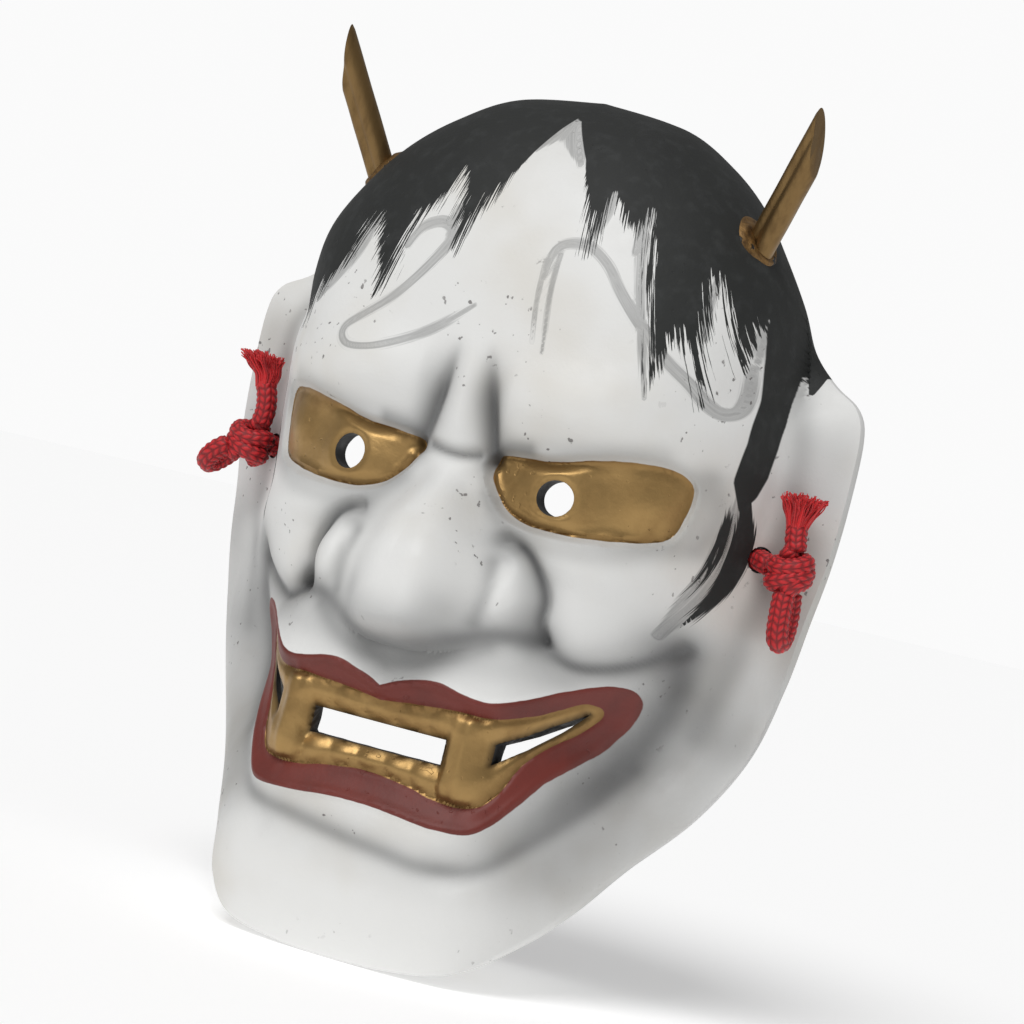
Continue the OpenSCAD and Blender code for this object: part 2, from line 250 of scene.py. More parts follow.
# Depth of the face along its middle line, without the nose: z, depth.
MIDDLE_LINE = np.array([
    [-96, 66.5], [-84, 71.5], [-72, 72.5], [-62, 71.5], [-54, 69.5], [-46, 69], [-40, 69], [-34, 71],
    [-26, 70], [-16, 67], [-4, 64], [8, 61], [20, 60], [32, 61], [48, 63], [64, 64], [111, 64],
])
MIDDLE_SPAN = 3
EAR_SOFTNESS = 0.002
# How far the corners of the mouth turn back from the base: z, depth.
MOUTH_TURN = rounded([
    [-72, 0], [-62, 2], [-54, 5], [-47, 9.5], [-38, 12.5], [-31, 9.5], [-25, 4.6], [-18, 1], [-12, 0],
])

WALL_T = 5
# The lining follows every hollow of the carving, but only this share of what stands up.
INNER_RISE = 0.6
# Power of the curve by which the side wall turns in from the front edge to the rim.
WALL_CURVE = 1.8

# The mesh is made of rings round the point x = 0, z = RING_Z, which lie a little closer towards the edge.
RING_Z = 5
RING_CLOSING = 1.15
OUTER_RINGS = 165
INNER_RINGS = 24
WALL_RINGS = 10
SECTORS = 440

CHEEK_FOLD = rounded([[29.5, -16], [33.5, -19], [38.5, -19.7], [46.5, -16.6], [54.5, -10.4]])
SMILE_GROOVE = rounded([
    [54, -13], [54, -20], [51.5, -28], [46.8, -38], [42.5, -47], [37.5, -56], [32, -64], [24, -70],
])
WING_CREASE = rounded([
    [18.5, 4.4], [21.5, 3.6], [24.5, 1.4], [27, -2.5], [28.6, -7], [28.6, -12], [29.5, -16],
])
NOSE_UNDER = rounded([[0, -23.6], [6.4, -23], [14.4, -19.8], [21, -17], [28, -16]])
BROW_CREASE = rounded([[3.6, 48], [5, 41], [6.2, 34], [7.6, 28], [9.2, 21]])
NOSE_ROOT = rounded([[-5.6, 21.6], [0, 20.8], [5.6, 21.4]])
CHIN_CREASE = rounded([
    [-36, -60], [-27, -65], [-15, -66.6], [-2, -68.4], [8.5, -69.6], [18.5, -70.6], [29, -69], [35.5, -62.4],
    [42, -53], [47.8, -41],
])
EYE_OUTLINE = rounded([
    [9, 20.4], [10.4, 22.6], [17, 23.4], [23.3, 23.9], [30, 25.6], [37.4, 27.3], [43, 28.2], [48, 28.1],
    [51, 26.4], [51.6, 23], [51, 18.4], [49.3, 13.2], [45.9, 11], [39.7, 9.5], [32.4, 8.6], [26.4, 8.4],
    [20.7, 8.9], [14.9, 11.3], [10.4, 16.4], [9, 20.4],
])[:-1]
LIPS = both_sides([
    [0, -33.4], [3.8, -31.7], [9.8, -30], [14.8, -29.8], [21, -31.3], [26, -31.4], [31.5, -29], [36, -26.2],
    [40.5, -23.8], [44, -22.4], [47.4, -22.6], [48.8, -25.4], [47.2, -30.4], [43.8, -36.8], [40.4, -41.8],
    [36.6, -47.4], [33.6, -53.2], [31, -57.8], [27.4, -61], [22, -61.6], [16, -61.4], [6.7, -60.4],
    [0, -60.2],
])
TEETH = both_sides([
    [0, -36.7], [6, -36], [11, -35.6], [19, -35], [24.4, -35], [28, -34.4], [32, -32.8], [35.6, -30.4],
    [39.6, -27.8], [42.2, -28.2], [42, -30.8], [39, -34.8], [34.8, -39.6], [32, -44.4], [30, -50.4],
    [27.4, -54.6], [23, -56], [17, -55.6], [12, -54.6], [4, -53.4], [0, -53.3],
])
TOOTH_GAP = np.array([[-16.5, -42], [16.5, -42], [16.5, -48], [-16.5, -48]])
SIDE_GAP = np.array([
    [27, -40.5], [31.7, -37.3], [35.4, -34], [40.4, -29.8], [36.7, -35], [32.2, -40.3], [27, -45.2],
])
EYE_HOLE_AT = (26, 16)
EYE_HOLE_R = 4.1
CORD_HOLE_AT = (63.5, -20.5, 13)
CORD_HOLE_TURN = 45
CORD_HOLE_R = 3.1
NOSE_TIP_OFF = 1.8
FANG_AT = (22.3, -45)
FANG_RIB_PITCH = 4.4
UPPER_TOOTH_PITCH = 8
LOWER_TOOTH_PITCH = 6.8


def groove(x, z, line, width, fade=0):
    """A soft line, which grows to its full strength over the share fade of its length."""
    gap, along, _ = measure(x, z, line)
    return hump(gap, width) * smooth(-0.01, fade, along)


def nose(x, ax, z):
    tip_off = NOSE_TIP_OFF * smooth(14, -4, z)
    width = 5.6 + 7.8 * smooth(17, -7, z)
    ridge = 16.6 * smooth(21, -4, z) * np.exp(-((np.abs(x - tip_off) / width) ** 2.8))
    flank = 2.2 * bell(ax, z, 12, 0, 11, 11, 2.4)
    wing = 5.8 * bell(ax, z, 23.4, -8, 4.6, 8, 2.6)
    under = clamp01((z - 6.5 * (ax / 24) ** 2 + 24.4) / 8)
    return (ridge + flank + wing) * (1 - (1 - under) ** 2)


def brows_and_cheeks(ax, z):
    brow = 5.4 * bell(ax, z, 29, 36.5, 21, 8.5, 2.4) * smooth(6.5, 12, ax)
    cheek = 7.2 * bell(ax, z, 43.5, -5, 16.5, 12.5, 2.6)
    lid = 1.2 * bell(ax, z, 28, 3.5, 17, 4.5, 2.2)
    return brow + cheek + lid + 2.4 * bell(ax, z, 0, 33, 5.6, 10, 2.4)


def creases(x, ax, z):
    return (
        3.2 * groove(ax, z, BROW_CREASE, 2, 0.6)
        + 1.7 * groove(ax, z, NOSE_ROOT, 1.4)
        + 3.4 * groove(ax, z, CHEEK_FOLD, 2.4)
        + 3.2 * groove(ax, z, WING_CREASE, 1.8)
        + 2.6 * groove(ax, z, SMILE_GROOVE, 4.5)
        + 1.6 * groove(x, z, CHIN_CREASE, 4)
        + 1.2 * bell(ax, z, 55.5, 20, 3.5, 8)
        + 0.9 * bell(x, z, 0, -28, 3.4, 4)
    )


def eyes(ax, z):
    within = inside_by(ax, z, EYE_OUTLINE)
    recess = 2.7 * smooth(-1.6, 0.4, within)
    ball = 3.9 * bell(ax, z, 25, 16, 9.5, 8.5) + 2.2 * bell(ax, z, 45, 19, 6, 7)
    rim = 0.8 * hump(within - 1.2, 0.8) * smooth(22, 13, z - 6 * smooth(20, 9, ax))
    to_hole = np.hypot(ax - EYE_HOLE_AT[0], z - EYE_HOLE_AT[1]) - EYE_HOLE_R
    hole_edge = 0.8 * hump(to_hole, 0.9)
    return (ball - hole_edge) * smooth(0.2, 3, within) + rim - recess


def tooth_gap(x, z):
    """Distance to the slots between the teeth, negative inside them."""
    return -np.maximum(inside_by(x, z, TOOTH_GAP), inside_by(np.abs(x), z, SIDE_GAP))


def mouth(x, ax, z):
    """Lips with a raised brim that slope in to the teeth, ribbed fangs, and rows of rounded teeth."""
    lip = inside_by(x, z, LIPS)
    teeth = inside_by(x, z, TEETH)
    gap = tooth_gap(x, z)
    brim = 0.9 * hump(lip - 0.7, 1.1)
    slope = 2 * smooth(0, 7, lip)
    step = 1.1 * smooth(-0.6, 0.5, teeth)
    roll = 2.6 * (1 - np.exp(-np.clip(np.minimum(teeth, gap), 0, None) / 1.7))
    fang = 2 * bell(ax, z, *FANG_AT, 4.6, 12, 3.4) * smooth(0, 2, teeth)
    lower = smooth(-46, -48, z)
    pitch = UPPER_TOOTH_PITCH * (1 - lower) + LOWER_TOOTH_PITCH * lower
    pads = np.abs(np.cos(np.pi * x / pitch)) - 1
    pads = pads * smooth(0, 1.6, teeth) * smooth(0, 1.2, gap) * smooth(19.5, 17, ax)
    ribs = 0.35 * np.cos(2 * np.pi * (ax - FANG_AT[0]) / FANG_RIB_PITCH) * bell(ax, z, *FANG_AT, 4.6, 12, 4)
    return brim - slope - step + roll + fang + 0.9 * pads + ribs


def relief(x, z):
    """How far the carving stands in front of the smooth base."""
    ax = np.abs(x)
    return nose(x, ax, z) + brows_and_cheeks(ax, z) - creases(x, ax, z) + eyes(ax, z) + mouth(x, ax, z)


def middle_depth(z):
    """The middle line's depth, with its corners smoothed away."""
    offsets = np.linspace(-MIDDLE_SPAN, MIDDLE_SPAN, 7)
    return sum(np.interp(z + o, *MIDDLE_LINE.T) for o in offsets) / len(offsets)


def mouth_turn(ax, z):
    """How far the corner of the mouth turns back, fading out towards the front teeth and the cheek."""
    return np.interp(z, *MOUTH_TURN.T) * smooth(26, 47, ax) * smooth(66, 50, ax)


def fullness(row, t):
    """Share of the middle line's depth that is left at t of the way out to the front edge."""
    first, second, ear_at = row[..., 3], row[..., 4], row[..., 5]
    face = np.maximum(0, 1 - np.minimum(t / ear_at, 1) ** first) ** second
    has_ear = smooth(1, 0.9, ear_at)
    ear = (1 - t) * has_ear * smooth(0.45, 0.72, t)
    both = (face + ear + np.sqrt((face - ear) ** 2 + EAR_SOFTNESS * has_ear)) / 2
    return np.where(t > 0.999, 0, np.where(ear > 0, both, face))


def face_points(u, side, t, inset):
    """Points of the face at u along the front edge and t of the way out, set in by the distance inset."""
    row = curve(EDGE, u)
    reach = np.hypot(row[..., 0], row[..., 2] - RING_Z)
    base_x, base_z = row[..., 0] * t, RING_Z + (row[..., 2] - RING_Z) * t
    k = 1 - inset / reach
    rise = relief(side * base_x, base_z) * smooth(1, 0.9, t)
    rise = np.where((inset > 0) & (rise > 0), INNER_RISE * rise, rise)
    depth = row[..., 1] - inset + (middle_depth(base_z) - row[..., 1]) * fullness(row, t) + rise
    depth = depth - mouth_turn(base_x, base_z) * smooth(1, 0.85, t)
    return np.stack([side * base_x * k, -depth, RING_Z + (base_z - RING_Z) * k], -1)


def wall_points(u, side, w, inset):
    """Points of the side wall at w of the way from the front edge back to the rim."""
    front = face_points(u, side, np.ones_like(u), inset)
    rim = curve(RIM, u)
    k = (1 - inset / np.hypot(rim[..., 0], rim[..., 1] - RING_Z))[..., None]
    back = np.stack([side * rim[..., 0], rim[..., 1] - RING_Z], -1) * k
    turn = w**WALL_CURVE
    flat = front[..., [0, 2]] - (0, RING_Z)
    flat = flat + (back - flat) * turn
    return np.stack([flat[..., 0], front[..., 1] * (1 - w), flat[..., 1] + RING_Z], -1)


def ring_places():
    """Where the sectors lie along the front edge: evenly spaced by its length, on both sides."""
    fine = np.linspace(0, len(EDGE) - 1, 2000)
    length = lengths(curve(EDGE, fine)[:, :3])
    s = np.arange(SECTORS) / SECTORS * 2
    u = np.interp(np.where(s <= 1, s, 2 - s) * length[-1], length, fine)
    return u, np.where(s <= 1, 1.0, -1.0)


def ring_shares(count):
    """How far out each ring lies, from 0 in the middle of the face to 1 at the front edge."""
    return 1 - (1 - np.arange(1, count + 1) / count) ** RING_CLOSING


# ---- Meshes ----

# Material slots of the shell.
PAINT, LINING, HOLE = 0, 1, 2


def new_mesh(name, points, faces, looks, face_slots=None):
    """A smooth-shaded mesh object from points in millimetres."""
    data = bpy.data.meshes.new(name)
    data.from_pydata((np.asarray(points, float) * MM).tolist(), [], faces)
    for look in looks:
        data.materials.append(look)
    if face_slots is not None:
        data.polygons.foreach_set("material_index", np.asarray(face_slots, np.int32))
    data.polygons.foreach_set("use_smooth", [True] * len(data.polygons))
    data.update()
    piece = bpy.data.objects.new(name, data)
    bpy.context.scene.collection.objects.link(piece)
    return piece


def around(count):
    """Each point of a ring of count points, with the next one."""
    return [(k, (k + 1) % count) for k in range(count)]


def bands(starts, count):
    """Faces from each ring of count points to the next ring, from the numbers of their first points."""
    return [
        (low + a, low + b, high + b, high + a)
        for low, high in zip(starts, starts[1:])
        for a, b in around(count)
    ]


def tube_faces(rings, count):
    """Faces of a tube of rings of count points, closed at both ends."""
    end = rings * count
    ends = [tuple(range(count - 1, -1, -1)), tuple(range(end - count, end))]
    return bands(range(0, end, count), count) + ends


def joined(solids):
    """Points and faces of several solids as those of one mesh."""
    points, faces = [], []
    count = 0
    for solid_points, solid_faces in solids:
        points.append(solid_points)
        faces += [tuple(count + i for i in face) for face in solid_faces]
        count += len(solid_points)
    return np.concatenate(points), faces


def shell_body(looks):
    """The shell before its holes are cut: face, side wall, the wall's inside and the lining."""
    u, side = ring_places()
    outer = [face_points(u, side, np.full_like(u, t), 0) for t in ring_shares(OUTER_RINGS)]
    wall = [wall_points(u, side, i / WALL_RINGS, 0) for i in range(1, WALL_RINGS + 1)]
    wall_inside = [wall_points(u, side, i / WALL_RINGS, WALL_T) for i in range(WALL_RINGS, 0, -1)]
    inner = [face_points(u, side, np.full_like(u, t), WALL_T) for t in ring_shares(INNER_RINGS)[::-1]]
    rings = outer + wall + wall_inside + inner
    middle = np.zeros(1)
    first = face_points(middle, middle + 1, middle, 0)
    last = face_points(middle, middle + 1, middle, WALL_T)
    points = np.concatenate([first, *rings, last])
    end = len(points) - 1
    faces = [(0, 1 + a, 1 + b) for a, b in around(SECTORS)]
    faces += [(a, d, c, b) for a, b, c, d in bands(range(1, end, SECTORS), SECTORS)]
    faces += [(end, end - SECTORS + b, end - SECTORS + a) for a, b in around(SECTORS)]
    painted = (len(outer) + len(wall)) * SECTORS
    slots = [PAINT] * painted + [LINING] * (len(faces) - painted)
    return new_mesh("carved_shell", points, faces, looks, slots)


# ---- Holes ----


def prism(outline, low, high):
    """Closed prism on an outline of (x, z) points, from y = low to y = high."""
    n = len(outline)
    points = [(x, y, z) for y in (low, high) for x, z in outline]
    return np.array(points), [tuple(range(n - 1, -1, -1)), tuple(range(n, 2 * n)), *bands((0, n), n)]


def circle(radius, count):
    a = np.arange(count) * 2 * np.pi / count
    return np.stack([radius * np.cos(a), radius * np.sin(a)], -1)


HORN_FOOT = np.array([49, -28, 83.0])
HORN_R = 3.5
HORN_LEN = 36
HORN_ROOT = 7
# Degrees: the horn's lean outwards and forwards, its slanting cut, and the crown's slope at its foot.
HORN_OUT = 24
HORN_FORE = 20
HORN_CUT = 26
CROWN_TILT = 56
CROWN_TURN = 70
GLUE_GAP = 0.1
# Where cutters start and end in y, and how far a bore reaches each way, clear of the wall that they cut.
CUT_FROM = -130
SLOT_TO = -30
SIDE_TO = -20
CORD_HOLE_REACH = 15
SOCKET_REACH = 20


HORN_FRAME = np.array(turned("Y", HORN_OUT)) @ np.array(turned("X", HORN_FORE))
CROWN_FRAME = np.array(turned("Z", CROWN_TURN)) @ np.array(turned("X", CROWN_TILT))


def from_foot(points, turn):
    """Points given in the right horn's frame or the crown's, in their place."""
    return points @ turn.T + HORN_FOOT


def cutters(looks):
    """Everything that is cut out of the shell, as separate closed solids in one mesh."""
    solids = [prism(TOOTH_GAP, CUT_FROM, SLOT_TO)]
    for side in SIDES.values():
        solids.append(prism(SIDE_GAP * (side, 1), CUT_FROM, SIDE_TO))
        eye_hole = circle(EYE_HOLE_R, 64) + (side * EYE_HOLE_AT[0], EYE_HOLE_AT[1])
        solids.append(prism(eye_hole, CUT_FROM, SIDE_TO))
        bore, bore_faces = prism(circle(CORD_HOLE_R, 48), -CORD_HOLE_REACH, CORD_HOLE_REACH)
        bore = bore @ np.array(turned("Z", CORD_HOLE_TURN)).T + CORD_HOLE_AT
        solids.append((bore * (side, 1, 1), bore_faces))
        socket, socket_faces = prism(circle(HORN_R + GLUE_GAP, 48), -SOCKET_REACH, SOCKET_REACH)
        socket = from_foot(socket[:, [0, 2, 1]], HORN_FRAME)
        solids.append((socket * (side, 1, 1), socket_faces))
    points, faces = joined(solids)
    cutter = new_mesh("cutter", points, faces, looks, [HOLE] * len(faces))
    work = bmesh.new()
    work.from_mesh(cutter.data)
    bmesh.ops.recalc_face_normals(work, faces=work.faces)
    work.to_mesh(cutter.data)
    work.free()
    return cutter


def cut_holes(shell, cutter):
    """Cut the holes out of the shell's own mesh, and drop the cutter."""
    cut = shell.modifiers.new("holes", "BOOLEAN")
    cut.operation = "DIFFERENCE"
    cut.solver = "MANIFOLD"
    cut.object = cutter
    ready = bpy.context.evaluated_depsgraph_get()
    ready.update()
    result = bpy.data.meshes.new_from_object(shell.evaluated_get(ready))
    shell.modifiers.clear()
    shell.data = result
    bpy.data.objects.remove(cutter)


# ---- Paint ----

# Outline of one sideburn, from behind the ear down its back and up its front.
SIDEBURN = [
    (95, 62), (67, 57.5), (64.8, 51.5), (62.1, 58), (62.4, 50), (63, 44.5), (62.9, 38.4), (62.4, 31.5),
    (61.4, 26.5), (59.4, 22), (57.7, 29), (58.6, 38), (58.5, 48), (57.8, 58),
]
# Outline of the hair: the right sideburn, lock by lock over the parting to the left one, and round the crown.
HAIR = np.array([
    *SIDEBURN,
    (56.6, 66.5), (55.7, 53), (52.4, 60), (50.5, 66), (46.6, 72), (48.6, 60), (50.7, 44), (46.4, 54),
    (43, 58), (40.6, 44.5), (36.6, 58.6), (33.2, 70.6), (28.6, 84.5), (28.6, 78), (24, 80.5), (19.6, 87),
    (20.4, 77), (19, 70.5), (16.6, 79), (9.8, 93), (1.6, 104), (-2.6, 93), (-5, 85), (-7.6, 77.5),
    (-10.2, 72), (-12, 66.5), (-14.2, 75.5), (-17, 86), (-18.4, 78.5), (-23, 72.3), (-24.8, 65.8),
    (-25.4, 58.6), (-28.8, 52.4), (-31.5, 62), (-35, 71), (-38.7, 59), (-46.4, 50.4), (-53, 43), (-56, 56),
    *mirrored(SIDEBURN[::-1]),
    (-110, 140), (110, 140),
])
# Dark brush strokes that carry a sideburn on over the cheek: x, z, half width.
SIDEBURN_END = [
    (59.6, 28, 0.6), (60.4, 22, 1.4), (60.6, 16.6, 1.8), (59.8, 9.5, 1.8), (58.2, 2.7, 1.5), (55.8, -3, 1),
    (52.6, -8, 0),
]
INK = [
    SIDEBURN_END,
    [(57.9, 24, 0.2), (57.8, 18, 0.9), (57, 12, 1), (55.6, 6, 0.8), (53.6, 0.6, 0.4), (50.6, -5, -0.4)],
    mirrored(SIDEBURN_END),
]
# Grey brush strokes on the forehead, at the locks' tips and beside the right sideburn: x, z, half width.
WASH = [
    [[-24, 65, 0.8], [-21.5, 70, 1.1], [-16.4, 72, 1.2], [-13, 69, 1.1], [-16.4, 62, 0.9], [-23, 53.4, 0.9],
     [-30.4, 46.8, 0.9], [-33.3, 43.6, 0.9], [-32.4, 40.8, 0.8], [-29, 39.6, 0.9], [-22, 41.2, 0.9],
     [-11.7, 47, 0.7], [-2.6, 54.6, 0.2]],
    [[11.8, 64, 0.3], [11.8, 69.3, 0.8], [14, 72.4, 1.1], [19.3, 73, 1.1], [24.7, 69.7, 1.1], [29, 64.7, 1.2],
     [33, 60.5, 1.2], [36.7, 57, 1.2], [42.4, 51.7, 1.1], [47.8, 47.6, 1.1], [51, 44.4, 1.2], [53.8, 43, 1.3],
     [56, 44.4, 1.2], [56.7, 48, 1], [56.6, 55, 0.7]],
    [[11, 68, 0.4], [11.6, 58, 0.4], [13, 49, 0.1]],
    [[13.6, 70, 0.4], [14.2, 60, 0.5], [16, 47, 0.1]],
    [[29.6, 78, 1.1], [31.8, 70, 0.9], [36, 57, 0.7], [40.8, 42, 0.2]],
    [[1.6, 105, 1], [4.6, 99, 2.9], [9.4, 91.5, 0.4]],
    [[1.6, 105, 1], [0.2, 99.5, 2.2], [-2.6, 93, 0.2]],
    [[19.4, 88, 0.8], [19.8, 82, 1.5], [19.4, 75, 0.3]],
    [[28.7, 86, 0.6], [28.6, 80, 1.1], [29.4, 74, 0.8]],
    [[46.6, 73, 0.5], [47, 66, 1], [48.4, 58, 0.2]],
    [[56.6, 68, 0.6], [56.9, 61, 1.1], [57, 54, 0.3]],
    [[-35, 72, 0.6], [-37, 63, 1.5], [-42.6, 53.4, 1.2], [-47, 48.6, 0.2]],
    [[-14.4, 76, 0.6], [-14, 70, 0.9], [-13.6, 65, 0.2]],
    [[59.4, 28, 0.3], [59.2, 20, 2], [58, 9, 2.4], [55, -1, 2.2], [50.4, -9, 0.6]],
]
# Painted shade, partly the mask's own airbrushed grey: in the folds, under the brows and the nose, round the
# ears and down the jaw's sides. Each is a line, its width, how dark it is, and the share of its length over
# which it fades in.
SHADES = [
    (SMILE_GROOVE[::-1], 3.4, 0.75, 0.6),
    (SMILE_GROOVE[::-1], 8, 0.6, 0.6),
    (CHEEK_FOLD, 1.3, 0.85, 0),
    (CHEEK_FOLD, 4.5, 0.5, 0),
    (WING_CREASE, 1, 0.95, 0.15),
    (WING_CREASE, 3.6, 0.45, 0),
    (NOSE_UNDER, 2.2, 0.75, 0),
    (NOSE_UNDER, 5, 0.4, 0),
    (BROW_CREASE, 1.4, 0.9, 0.55),
    (BROW_CREASE, 4.2, 0.6, 0.6),
    (rounded([[9.6, 22], [12, 24.6], [18, 25.4]]), 1.8, 0.55, 0),
    (rounded([[16.4, 2], [18.4, -6], [17.8, -15]]), 1.8, 0.5, 0.2),
    # painted shadow that the nose casts on the upper lip
    (rounded([[0, -27.4], [8, -26.6], [15, -23.4], [21, -19.6]]), 2.4, 0.5, 0),
    (rounded([[0, -18], [8, -17.6], [12, -14]]), 5, 0.34, 0),
    (rounded([[0, -28.4], [12, -25.6], [24, -23.6], [36, -23.4]]), 4.4, 0.3, 0),
    (rounded([[54.5, 28], [56.5, 20], [54, 12]]), 3, 0.4, 0),
    (rounded([[10, 13], [18, 6.5], [28, 4.6], [40, 6], [50, 10]]), 2.6, 0.28, 0),
    (rounded([[12, 12], [16, 6], [20, 2]]), 3, 0.3, 0),
    (rounded([[12, 27], [22, 27], [34, 29], [46, 31.4]]), 2.2, 0.18, 0),
    (rounded([[63, 52], [67, 40], [67, 22], [65.5, 4], [63, -12], [59, -30]]), 3.2, 0.4, 0),
    (rounded([[74, 40], [75, 20], [73, -5], [68, -30]]), 8, 0.25, 0),
    (rounded([[62, -30], [54, -48], [42, -66]]), 9, 0.4, 0),
    (rounded([[4, 14], [11, 6], [16, 3]]), 4, 0.2, 0),
]
# Painted shade along the middle of the face: in the chin's crease and at the nose's root.
MIDDLE_SHADES = [
    (CHIN_CREASE, 2.2, 0.55, 0.1),
    (CHIN_CREASE, 7, 0.2, 0),
    (NOSE_ROOT, 1.5, 0.6, 0),
]
# The hair was brushed out in a fan from this x, z. Its bristle marks are laid out by the angle round it.
HAIR_FAN = (0, 185)
FAN_MM_PER_RADIAN = 110
# How dark the painted shade just outside the edge of each eye's gold is.
EYE_SHADE = 0.32


def paint_fields(x, z):
    """What is painted where, as smooth fields that the material turns into edges.

    The field "dry" is where the brush ran dry: at the tips of the locks, and not on the crown or sideburns.
    """
    ax = np.abs(x)
    eye = inside_by(ax, z, EYE_OUTLINE)
    # painted shade along the lines above and round the eyes
    shades = [strength * groove(ax, z, line, width, fade) for line, width, strength, fade in SHADES]
    shades += [strength * groove(x, z, line, width, fade) for line, width, strength, fade in MIDDLE_SHADES]
    shades.append(EYE_SHADE * hump(eye + 0.8, 1.8))
    shade = np.zeros(x.shape)
    for more in shades:
        shade = 1 - (1 - shade) * (1 - more)
    fields = {"hair": inside_by(x, z, HAIR), "dry": smooth(92, 76, z) * smooth(57.4, 54, ax)}
    for name, strokes in (("ink", INK), ("wash", WASH)):
        fields[name], fields[f"{name}_across"], fields[f"{name}_along"] = brushed(x, z, strokes)
    fields["shade"] = shade
    fields["lip"] = inside_by(x, z, LIPS)
    fields["gold"] = np.maximum(inside_by(x, z, TEETH), eye)
    fields["gap"] = tooth_gap(x, z)
    fields["across"] = np.arctan2(x - HAIR_FAN[0], HAIR_FAN[1] - z) * FAN_MM_PER_RADIAN
    fields["along"] = np.hypot(x - HAIR_FAN[0], z - HAIR_FAN[1])
    return fields


def add_fields(piece, fields):
    """Store each field on the mesh's points, where a material can read it."""
    for name, values in fields.items():
        layer = piece.data.attributes.new(name, "FLOAT", "POINT")
        layer.data.foreach_set("value", np.asarray(values, np.float32))


def mesh_points(piece):
    """The mesh's points in millimetres."""
    points = np.zeros(len(piece.data.vertices) * 3, np.float32)
    piece.data.vertices.foreach_get("co", points)
    return points.reshape(-1, 3).astype(float) / MM


# ---- Materials ----


class Look:
    """A node material, built up in short calls."""

    def __init__(self, name):
        self.material = bpy.data.materials.new(name)
        self.material.use_nodes = True
        self.tree = self.material.node_tree
        self.shader = self.tree.nodes["Principled BSDF"]
        self.place = self.node("TexCoord", {}).outputs["Object"]

    def put(self, socket, value):
        """Set a socket to a value or colour, or link it to another."""
        if isinstance(value, bpy.types.NodeSocket):
            self.tree.links.new(value, socket)
        elif isinstance(value, tuple) and socket.type == "RGBA":
            socket.default_value = (*value, 1)
        else:
            socket.default_value = value

    def node(self, kind, inputs, **settings):
        """A new node with these settings, its inputs put by name or number to these values."""
        node = self.tree.nodes.new("ShaderNode" + kind)
        for name, value in settings.items():
            setattr(node, name, value)
        for name, value in inputs.items():
            self.put(node.inputs[name], value)
        return node

    def field(self, name):
        return self.node("Attribute", {}, attribute_name=name).outputs["Fac"]

    def stretched(self, x, y, z):
        """The place on the object, stretched by these factors."""
        return self.node("Mapping", {"Vector": self.place, "Scale": (x, y, z)}).outputs[0]

    def noise(self, scale, detail, rough=0.55, where=None):
        inputs = {"Vector": where or self.place, "Scale": scale, "Detail": detail, "Roughness": rough}
        return self.node("TexNoise", inputs).outputs["Fac"]

    def streaks(self, across, along, fineness, length):
        """Noise drawn out along a brush's way: bristles per mm across it, and marks per mm along it."""
        across, along = self.times(self.field(across), fineness), self.times(self.field(along), length)
        return self.noise(1, 3, 0.6, self.node("CombineXYZ", {"X": across, "Y": along}).outputs[0])

    def maths(self, operation, a, b, c=0.0):
        return self.node("Math", {0: a, 1: b, 2: c}, operation=operation).outputs[0]

    def times(self, a, b):
        return self.maths("MULTIPLY", a, b)

    def step(self, value, low, high, to_low=0.0, to_high=1.0):
        """A soft step from to_low, where the value is low, to to_high, where it is high."""
        inputs = {"Value": value, "From Min": low, "From Max": high, "To Min": to_low, "To Max": to_high}
        return self.node("MapRange", inputs, interpolation_type="SMOOTHSTEP").outputs[0]

    def mix(self, share, a, b):
        """Colour between a and b."""
        return self.node("Mix", {0: share, 6: a, 7: b}, data_type="RGBA").outputs[2]

    def blend(self, share, a, b):
        """Number between a and b."""
        return self.node("Mix", {0: share, 2: a, 3: b}).outputs[0]

    def bump(self, height, distance, strength):
        node = self.node("Bump", {"Strength": strength, "Distance": distance, "Height": height})
        self.put(self.shader.inputs["Normal"], node.outputs[0])

    def finish(self, colour, roughness, metallic=0.0):
        for name, value in (("Base Color", colour), ("Roughness", roughness), ("Metallic", metallic)):
            self.put(self.shader.inputs[name], value)
        return self.material


def srgb(r, g, b):
    """Linear colour of an 8-bit screen colour."""
    return tuple((c / 255 / 12.92) if c < 11 else ((c / 255 + 0.055) / 1.055) ** 2.4 for c in (r, g, b))


WHITE = srgb(232, 232, 230)
WARM_WHITE = srgb(222, 219, 212)
GREY = srgb(60, 61, 63)
HAIR_BLACK = srgb(29, 31, 30)
HAIR_WORN = srgb(54, 56, 56)
LIP_RED = srgb(114, 43, 34)
LIP_DARK = srgb(100, 38, 30)
GOLD = srgb(170, 138, 88)
GOLD_DARK = srgb(110, 81, 45)
# Black of the lining, the slots' walls and chipped filler, also used as painted shade at the slots' edges.
BLACK_AND_SHADE = srgb(20, 19, 18)
WEAR = srgb(96, 92, 90)


